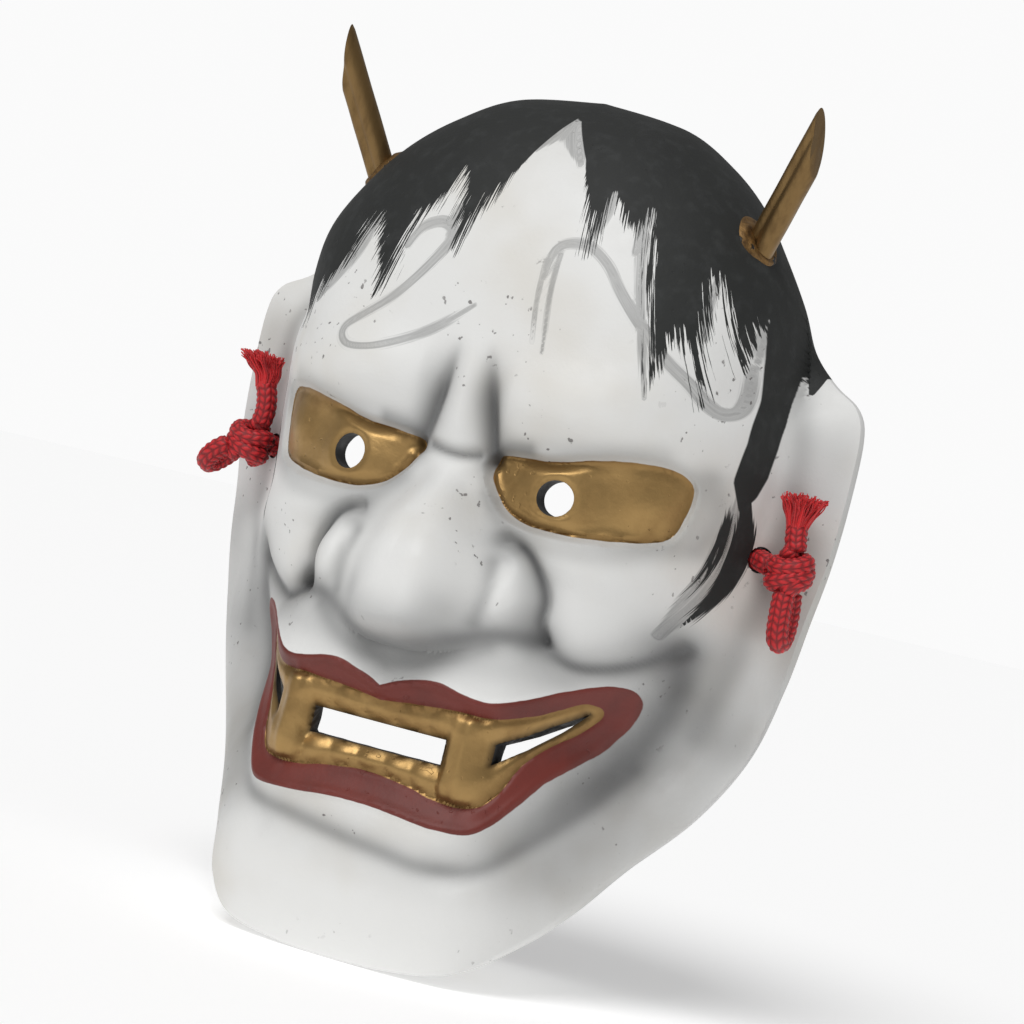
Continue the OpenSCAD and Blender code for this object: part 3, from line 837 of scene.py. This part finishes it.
def painted_look():
    look = Look("painted_shell")
    field, maths, mix = look.field, look.maths, look.mix
    noise, step, times = look.noise, look.step, look.times
    streaks = look.streaks("across", "along", 3.2, 0.055)
    ink_streaks = look.streaks("ink_across", "ink_along", 2.2, 0.04)
    wash_streaks = look.streaks("wash_across", "wash_along", 2.4, 0.06)
    fine = noise(900, 3)
    grain = noise(260, 4)
    broad = noise(22, 3)
    paint = mix(step(broad, 0.45, 0.75), WHITE, WARM_WHITE)
    # painted shade in the folds and under the nose, partly the mask's own airbrushed grey
    shade = times(field("shade"), step(broad, 0.2, 0.8, 0.85, 1.1))
    paint = mix(times(shade, 0.9), paint, GREY)
    # grey brush strokes, thinner where the brush ran dry
    wash = maths("ADD", field("wash"), maths("MULTIPLY_ADD", wash_streaks, 1.8, -0.9))
    thinness = step(wash_streaks, 0.25, 0.7, 0.3, 0.52)
    wash_share = times(step(wash, -0.55, 0.15), thinness)
    paint = mix(wash_share, paint, GREY)
    # specks and scuffs, where the white has chipped off
    specks = step(noise(560, 2, 0.4), 0.69, 0.73)
    specks = times(specks, step(noise(32, 2), 0.48, 0.58))
    scuffs = step(noise(170, 5, 0.7), 0.64, 0.7)
    scuffs = times(scuffs, step(noise(24, 2), 0.6, 0.68))
    worn = maths("MAXIMUM", specks, times(scuffs, 0.6))
    paint = mix(times(worn, 0.8), paint, WEAR)
    # hair and sideburns, with bristle marks where the brush ran dry
    bristle = times(maths("MULTIPLY_ADD", streaks, 15.0, -7.5), field("dry"))
    bristle = maths("MULTIPLY_ADD", field("dry"), -0.3, bristle)
    hair = step(maths("ADD", field("hair"), bristle), -0.12, 0.12)
    ink = maths("MULTIPLY_ADD", maths("SUBTRACT", ink_streaks, 0.55), 3.4, field("ink"))
    dark = maths("MAXIMUM", hair, step(ink, -0.12, 0.15))
    hair_colour = mix(step(grain, 0.45, 0.8, 0, 0.5), HAIR_BLACK, HAIR_WORN)
    paint = mix(dark, paint, hair_colour)
    # lips and gold
    wobble = maths("MULTIPLY_ADD", noise(120, 3), 0.7, -0.35)
    lip = step(maths("ADD", field("lip"), wobble), -0.12, 0.12)
    lip_colour = mix(step(noise(70, 4), 0.4, 0.7), LIP_RED, LIP_DARK)
    paint = mix(lip, paint, lip_colour)
    gold = step(maths("ADD", field("gold"), wobble), -0.1, 0.12)
    gold_colour = mix(step(noise(90, 4, 0.6), 0.45, 0.85, 0, 0.55), GOLD, GOLD_DARK)
    # painted shade: the gold darker along its edge, where it lies sunk below the brows and the lips
    gold_colour = mix(step(field("gold"), 2.4, 0, 0, 0.5), gold_colour, GOLD_DARK)
    # painted shade: the gold turns nearly black at the edges of the slots between the teeth
    gold_colour = mix(step(field("gap"), 1.3, -0.2, 0, 0.75), gold_colour, BLACK_AND_SHADE)
    paint = mix(gold, paint, gold_colour)
    rough = look.blend(dark, step(grain, 0.3, 0.7, 0.5, 0.62), 0.7)
    rough = look.blend(lip, rough, 0.55)
    rough = look.blend(gold, rough, step(grain, 0.3, 0.75, 0.38, 0.5))
    # brush texture, sunk where the white has chipped off
    height = maths("ADD", times(fine, 0.35), times(grain, 0.65))
    height = maths("SUBTRACT", height, times(worn, 0.8))
    look.bump(height, 0.00025, 0.6)
    return look.finish(paint, rough, times(gold, 0.85))


def lining_look():
    look = Look("dark_lining")
    grain = look.noise(160, 4)
    colour = look.mix(look.step(grain, 0.35, 0.7), BLACK_AND_SHADE, srgb(34, 30, 27))
    look.bump(look.noise(320, 3), 0.0004, 0.7)
    return look.finish(colour, look.step(grain, 0.3, 0.7, 0.55, 0.75))


def hole_look():
    look = Look("hole_walls")
    grain = look.noise(200, 3)
    # gilt runs a little way into the slots between the teeth
    gilt = look.times(look.field("gilt"), look.step(grain, 0.25, 0.6, 0.6, 1.0))
    colour = look.mix(gilt, BLACK_AND_SHADE, GOLD_DARK)
    look.bump(grain, 0.0003, 0.6)
    return look.finish(colour, look.step(grain, 0.3, 0.7, 0.5, 0.7), look.times(gilt, 0.8))


def gilt_look():
    look = Look("gilt_rod")
    grain = look.noise(60, 4, 0.6, look.stretched(6, 6, 1.2))
    fine = look.noise(700, 3)
    colour = look.mix(look.step(grain, 0.42, 0.85, 0, 0.7), srgb(130, 104, 66), srgb(84, 63, 38))
    look.bump(look.maths("ADD", grain, look.times(fine, 0.3)), 0.00025, 0.5)
    return look.finish(colour, look.step(grain, 0.3, 0.7, 0.36, 0.5), 0.85)


def filler_look():
    look = Look("gilt_filler")
    grain = look.noise(330, 5, 0.65)
    chips = look.step(look.noise(240, 3), 0.62, 0.67)
    colour = look.mix(look.step(grain, 0.4, 0.7), srgb(132, 101, 59), srgb(80, 59, 36))
    colour = look.mix(chips, colour, BLACK_AND_SHADE)
    look.bump(look.maths("SUBTRACT", grain, look.times(chips, 0.6)), 0.0006, 0.8)
    return look.finish(colour, 0.5, look.blend(chips, 0.7, 0.0))


def cord_look(name, light, dark):
    look = Look(name)
    fibres = look.noise(2600, 3, 0.6)
    # painted shade: the braid is darker where its yarns lie low, in its grooves; on the frayed end, the
    # colour differs from yarn to yarn
    yarn = look.maths("MULTIPLY_ADD", fibres, 0.5, look.times(look.field("yarn"), 0.75))
    colour = look.mix(look.step(yarn, 0.25, 0.95), dark, light)
    look.bump(fibres, 0.0002, 0.6)
    look.shader.inputs["Sheen Weight"].default_value = 0.12
    look.shader.inputs["Sheen Roughness"].default_value = 0.4
    return look.finish(colour, look.step(fibres, 0.3, 0.7, 0.45, 0.65))


# ---- Cord ----

CORD_R = 2.6
KNOT_CORD_R = 2.3
# Route of the cord from the right knot, through the right hole, behind the mask, to the left knot. These are
# the points of the CAD model's tube.
CORD_BEHIND = [
    (61.5, -18.5, 13), (59, -16, 12.8), (56, -12.5, 11.5), (53, -9.5, 8), (49, -7.5, 1), (43, -6.5, -8),
    (35, -6, -17), (25, -6, -25), (13, -6, -31), (0, -6, -33),
]
CORD_ROUTE = (
    [(68, -24, 12.2), (66, -23, 12.6), (64, -21, 13)]
    + CORD_BEHIND
    + mirrored(CORD_BEHIND[-2::-1])
    + [(-64, -21, 13), (-65.2, -22.6, 13)]
)
LOOP_RIGHT = [
    (73.4, -27.3, 7.4), (73.4, -27.4, 4.5), (73.5, -27.3, 1.5), (73.6, -26.8, -1.6), (73.8, -25.5, -3.9),
    (73.9, -23.4, -4.2), (73.9, -21.8, -2), (73.8, -21.4, 1.5), (73.6, -21.6, 4.5), (73.4, -22.2, 7.4),
]
LOOP_LEFT = [
    (-71.6, -29.4, 11), (-73.8, -30.1, 9.4), (-75.9, -29.9, 7.4), (-77.1, -28.4, 5.8), (-76.9, -26.3, 5.6),
    (-75.5, -24.8, 7), (-73.7, -24.4, 8.8), (-71.8, -24.5, 10.8),
]
TAIL_RIGHT = [(73.3, -25, 16.4), (72.4, -24.8, 19), (71.9, -24.6, 22.8)]
TAIL_LEFT = [(-66.4, -26.2, 17.2), (-65.6, -26.6, 20.5), (-65.9, -26.8, 24), (-67.2, -26.6, 27.6)]
# At each ear: the knot's middle, the loop, the tail, and how far the frayed end leans for its height.
CORD_ENDS = {
    "right": ((72.8, -24.9, 11.8), LOOP_RIGHT, TAIL_RIGHT, (0.035, 0, 0)),
    "left": ((-67.8, -26.2, 12.8), LOOP_LEFT, TAIL_LEFT, (-0.4, 0, 0)),
}
# One strand of a knot from its foot, twice round and out at its head, measured from the knot's middle.
KNOT_STRAND = [
    (0.6, -2.4, -4.4), (2.4, -3, -2.6), (3.6, -0.6, -1.2), (2.2, 2.6, -0.2), (-0.8, 3.4, 0.8),
    (-3.3, 1.4, 1.2), (-3.3, -1.6, 1), (-1.2, -3.5, 0.6), (1.6, -3.3, 1.2), (3.3, -0.8, 2.4), (1.8, 2.4, 3),
    (-1.2, 2, 3.2), (-1.2, 0, 3.8), (0.4, 0, 5.4),
]
# The other strand comes up from the foot, crosses the front and goes out to the cord hole.
KNOT_CROSSING = [
    (0.6, 2.6, -4.4), (-1.6, 1.8, -3.4), (-3.3, -0.2, -2.8), (-2.2, -3, -2.6), (0.8, -3.7, -1.6),
    (3.4, -1.8, -0.2), (3.2, 1.4, 1), (0, 2, 1.4), (-3.6, 0.8, 0.6),
]
BRAID_COLUMNS = 10
BRAID_PITCH = 1.6
BRAID_DEPTH = 0.32
BRAID_STEP = 0.3
BRAID_SIDES = 60
END_ROUNDING = 0.6
TUFT_HEIGHT = 7.8
TUFT_SPREAD = 6.2
TUFT_YARNS = 260
YARN_SIDES = 5
YARN_STEP = 0.7
YARN_TAPER = 0.45


def along_route(route, step):
    """Points about every step along the smooth curve through the route, and the length of the curve."""
    fine = rounded(route, 40)
    length = lengths(fine)
    count = max(2, round(length[-1] / step))
    places = np.linspace(0, length[-1], count + 1)
    return np.stack([np.interp(places, length, fine[:, k]) for k in range(3)], -1), length[-1]


def carried_frames(points):
    """Directions ahead, across and up at each point of a route, turned as little as possible on the way."""
    ahead = np.gradient(points, axis=0)
    ahead /= np.linalg.norm(ahead, axis=1)[:, None]
    across = np.cross(ahead[0], (0, 0, 1) if abs(ahead[0][2]) < 0.9 else (0, 1, 0))
    turned_across = []
    for a in ahead:
        across = across - a * (across @ a)
        across = across / np.linalg.norm(across)
        turned_across.append(across)
    across = np.array(turned_across)
    return ahead, across, np.cross(ahead, across)


def braid(places, angles):
    """Height of the braid's yarns, from 0 to 1, at places along the cord and angles round it."""
    column = angles / (2 * np.pi) * BRAID_COLUMNS
    share = column % 1
    slant = np.where(np.floor(column) % 2 == 0, 1, -1)
    phase = places / BRAID_PITCH + 0.62 * slant * (share - 0.5)
    return (0.5 + 0.5 * np.cos(2 * np.pi * phase)) ** 0.6 * np.sin(np.pi * share) ** 0.45


def rings_round(line, radius, sides):
    """Points of rings round a line. The radius is given for each ring or for each of its points."""
    _, across, up = carried_frames(line)
    angles = np.arange(sides) * 2 * np.pi / sides
    ring = np.cos(angles)[None, :, None] * across[:, None] + np.sin(angles)[None, :, None] * up[:, None]
    return (line[:, None] + radius * ring).reshape(-1, 3)


def braided_tube(route, radius):
    """Points, faces and yarn heights of a braided tube along a route, with rounded ends."""
    line, length = along_route(route, BRAID_STEP)
    places = np.linspace(0, length, len(line))[:, None]
    height = braid(places, np.arange(BRAID_SIDES)[None] * 2 * np.pi / BRAID_SIDES)
    to_end = np.minimum(places, length - places)
    ease = np.sqrt(clamp01(1 - (1 - clamp01(to_end / END_ROUNDING)) ** 2) + 0.02)
    size = (radius - BRAID_DEPTH * (1 - height)) * ease
    points = rings_round(line, size[..., None], BRAID_SIDES)
    return points, tube_faces(len(line), BRAID_SIDES), height.reshape(-1)


def add_braid(name, routes, look, radius=CORD_R):
    """One mesh of a braided tube along each of the routes."""
    tubes = [braided_tube(route, radius) for route in routes]
    piece = new_mesh(name, *joined([(points, faces) for points, faces, _ in tubes]), [look])
    # the yarns' heights, from which the material paints shade into the braid's grooves
    add_fields(piece, {"yarn": np.concatenate([height for *_, height in tubes])})
    return piece


def fibre(route, thick):
    """Points and faces of one thin tapering strand, closed at both ends."""
    line, _ = along_route(route, YARN_STEP)
    radius = np.linspace(thick, thick * YARN_TAPER, len(line))[:, None, None]
    return rings_round(line, radius, YARN_SIDES), tube_faces(len(line), YARN_SIDES)


def add_tuft(name, foot, lean, look):
    """Frayed end of the cord: yarns that open out from the foot."""
    strands, yarn = [], []
    lean = np.array(lean)
    for _ in range(TUFT_YARNS):
        angle = rng.uniform(0, 2 * np.pi)
        out = math.sqrt(rng.uniform(0, 1))
        way = np.array([math.cos(angle), math.sin(angle), 0])
        reach = TUFT_HEIGHT * rng.uniform(0.72, 1.0) * (1 - 0.12 * out)
        wave = rng.normal(0, 0.45, 3)
        start = way * out * (CORD_R - 0.5) + (0, 0, -1.5)
        bend = way * out * (CORD_R + 0.5) + (0, 0, 0.3 * reach) + 0.4 * wave
        fan = way * out * (0.62 * TUFT_SPREAD) + lean * 0.55 * reach + (0, 0, 0.66 * reach) + wave
        tip = way * out * TUFT_SPREAD * 0.92 + lean * reach + (0, 0, reach)
        points, faces = fibre(np.array([start, bend, fan, tip]) + foot, rng.uniform(0.2, 0.42))
        strands.append((points, faces))
        yarn.append(np.full(len(points), rng.uniform(0.35, 1.0)))
    piece = new_mesh(name, *joined(strands), [look])
    add_fields(piece, {"yarn": np.concatenate(yarn)})
    return piece


def add_cord():
    """The cord's run, and on it each ear's knot, loop, tail and frayed end."""
    red = cord_look("red_braid", srgb(200, 27, 34), srgb(124, 10, 17))
    frayed = cord_look("red_fibres", srgb(214, 34, 38), srgb(140, 12, 20))
    run = add_braid("hanging_cord_braid", [CORD_ROUTE], red)
    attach(run, "root")
    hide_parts("hanging_cord")
    for name, (middle, loop, tail, lean) in CORD_ENDS.items():
        strands = [np.array(s) * (SIDES[name], 1, 1) + middle for s in (KNOT_STRAND, KNOT_CROSSING)]
        made = {
            f"knot_{name}": add_braid(f"knot_{name}_wraps", strands, red, KNOT_CORD_R),
            f"cord_loop_{name}": add_braid(f"cord_loop_{name}_braid", [loop], red),
            f"cord_tail_{name}": add_braid(f"cord_tail_{name}_braid", [tail], red),
            f"cord_tuft_{name}": add_tuft(f"cord_tuft_{name}_fibres", tail[-1], lean, frayed),
        }
        for node, piece in made.items():
            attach(piece, "root")
            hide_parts(node)


# ---- Horns ----

# Where the flute lies round the horn, in degrees, before the left horn is mirrored.
FLUTE_AT = {"right": 250, "left": 290}
FLUTE_DEPTH = 0.9
FLUTE_WIDTH = 24
HORN_SIDES = 96
HORN_STEPS = 40
HORN_SHARP = 40
FILLER_R = 7
FILLER_EDGE = -0.9
FILLER_RISE = 1.9
FILLER_UNDER = -1.9
# How far the filler was smeared out, and which way.
FILLER_SMEAR = 1.6
SMEAR_WAY = (-0.74, 0, 0.67)
FILLER_SIDES = 90
FILLER_STEPS = 12


def on_side(points, faces, side):
    """The right side's points and faces, mirrored when the side is the left."""
    if side < 0:
        faces = [face[::-1] for face in faces]
    return points * (side, 1, 1), faces


def add_horn(name, look):
    """A gilt rod with a flute down its length and a slanting cut at its top."""
    degrees = np.arange(HORN_SIDES) * 360 / HORN_SIDES
    off = (degrees - FLUTE_AT[name] + 180) % 360 - 180
    radius = HORN_R - FLUTE_DEPTH * hump(off, FLUTE_WIDTH)
    angle = np.radians(degrees)
    x, y = radius * np.cos(angle), radius * np.sin(angle)
    top = HORN_LEN - (x + HORN_R) / math.tan(math.radians(HORN_CUT))
    rings = []
    for share in np.linspace(0, 1, HORN_STEPS):
        z = -HORN_ROOT + (top + HORN_ROOT) * share
        wear = 1 + 0.012 * np.sin(3 * angle + 9 * share) * math.sin(7 * share)
        soften = 1 - 0.05 * smooth(0.985, 1, np.full_like(z, share))
        rings.append(np.stack([x * wear * soften, y * wear * soften, z], -1))
    middle_top = HORN_LEN - HORN_R / math.tan(math.radians(HORN_CUT))
    points = np.concatenate([*rings, [[0, 0, middle_top]], [[0, 0, -HORN_ROOT]]])
    end = HORN_STEPS * HORN_SIDES
    last = end - HORN_SIDES
    faces = bands(range(0, end, HORN_SIDES), HORN_SIDES)
    faces += [(end, last + a, last + b) for a, b in around(HORN_SIDES)]
    faces += [(end + 1, b, a) for a, b in around(HORN_SIDES)]
    piece = new_mesh(f"gilt_horn_{name}", *on_side(from_foot(points, HORN_FRAME), faces, SIDES[name]), [look])
    piece.data.set_sharp_from_angle(angle=math.radians(HORN_SHARP))
    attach(piece, "root")
    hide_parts(f"horn_{name}")


def add_filler(name, look):
    """The ragged ring of gilt filler round a horn's foot."""
    angle = np.arange(FILLER_SIDES) * 2 * np.pi / FILLER_SIDES
    phase = rng.uniform(0, 2 * np.pi, 5)
    ragged = sum(math.pow(0.7, k) * np.sin((k + 2) * angle + phase[k]) for k in range(5))
    toward = CROWN_FRAME.T @ SMEAR_WAY
    outer = FILLER_R + 0.3 * ragged + FILLER_SMEAR * np.cos(angle - math.atan2(toward[1], toward[0]))
    rings = []
    for share in np.linspace(0, 1, FILLER_STEPS):
        lump = 0.14 * np.sin(5 * angle + 11 * share + phase[0]) * math.sin(math.pi * share)
        radius = outer + (HORN_R - 0.3 - outer) * share
        height = FILLER_EDGE + FILLER_RISE * math.sin(math.pi / 2 * min(1, 1.5 * share)) + lump
        rings.append(np.stack([radius * np.cos(angle), radius * np.sin(angle), height], -1))
    rings += [ring * (1, 1, 0) + (0, 0, FILLER_UNDER) for ring in (rings[-1], rings[0])]
    points = from_foot(np.concatenate(rings), CROWN_FRAME)
    faces = bands([*range(0, len(points), FILLER_SIDES), 0], FILLER_SIDES)
    piece = new_mesh(f"gilt_filler_{name}", *on_side(points, faces, SIDES[name]), [look])
    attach(piece, "root")
    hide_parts(f"horn_filler_{name}")


# ---- The mask itself, and the floor ----

SHELL_SHARP = 38
FLOOR_R = 6000
FLOOR_GAP = 0.2
FLOOR_GLOW = 0.31


def add_shell():
    """The shell with its holes, the fields that its paint reads, and its three materials."""
    looks = (painted_look(), lining_look(), hole_look())
    shell = shell_body(looks)
    cut_holes(shell, cutters(looks))
    points = mesh_points(shell)
    fields = paint_fields(points[:, 0], points[:, 2])
    # how far behind the face a point lies, for the gilt on the slots' walls
    teeth = smooth(-3, 0, inside_by(points[:, 0], points[:, 2], TEETH))
    fields["gilt"] = teeth * smooth(-64, -68.5, points[:, 1])
    add_fields(shell, fields)
    shell.data.set_sharp_from_angle(angle=math.radians(SHELL_SHARP))
    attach(shell, "root")
    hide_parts("mask_shell")


def add_floor():
    """A large pale floor under the mask's lowest point."""
    level = cad_box[0][2] / MM - FLOOR_GAP
    points = [(x, y, level) for x, y in circle(FLOOR_R, 96)]
    look = Look("pale_floor")
    look.shader.inputs["Emission Color"].default_value = (1, 1, 1, 1)
    look.shader.inputs["Emission Strength"].default_value = FLOOR_GLOW
    pale = look.finish((0.88, 0.88, 0.88), 0.9)
    new_mesh("floor", points, [tuple(range(len(points)))], [pale])


add_cord()
add_shell()
gilt = gilt_look()
filler = filler_look()
for name in SIDES:
    add_horn(name, gilt)
    add_filler(name, filler)
add_floor()
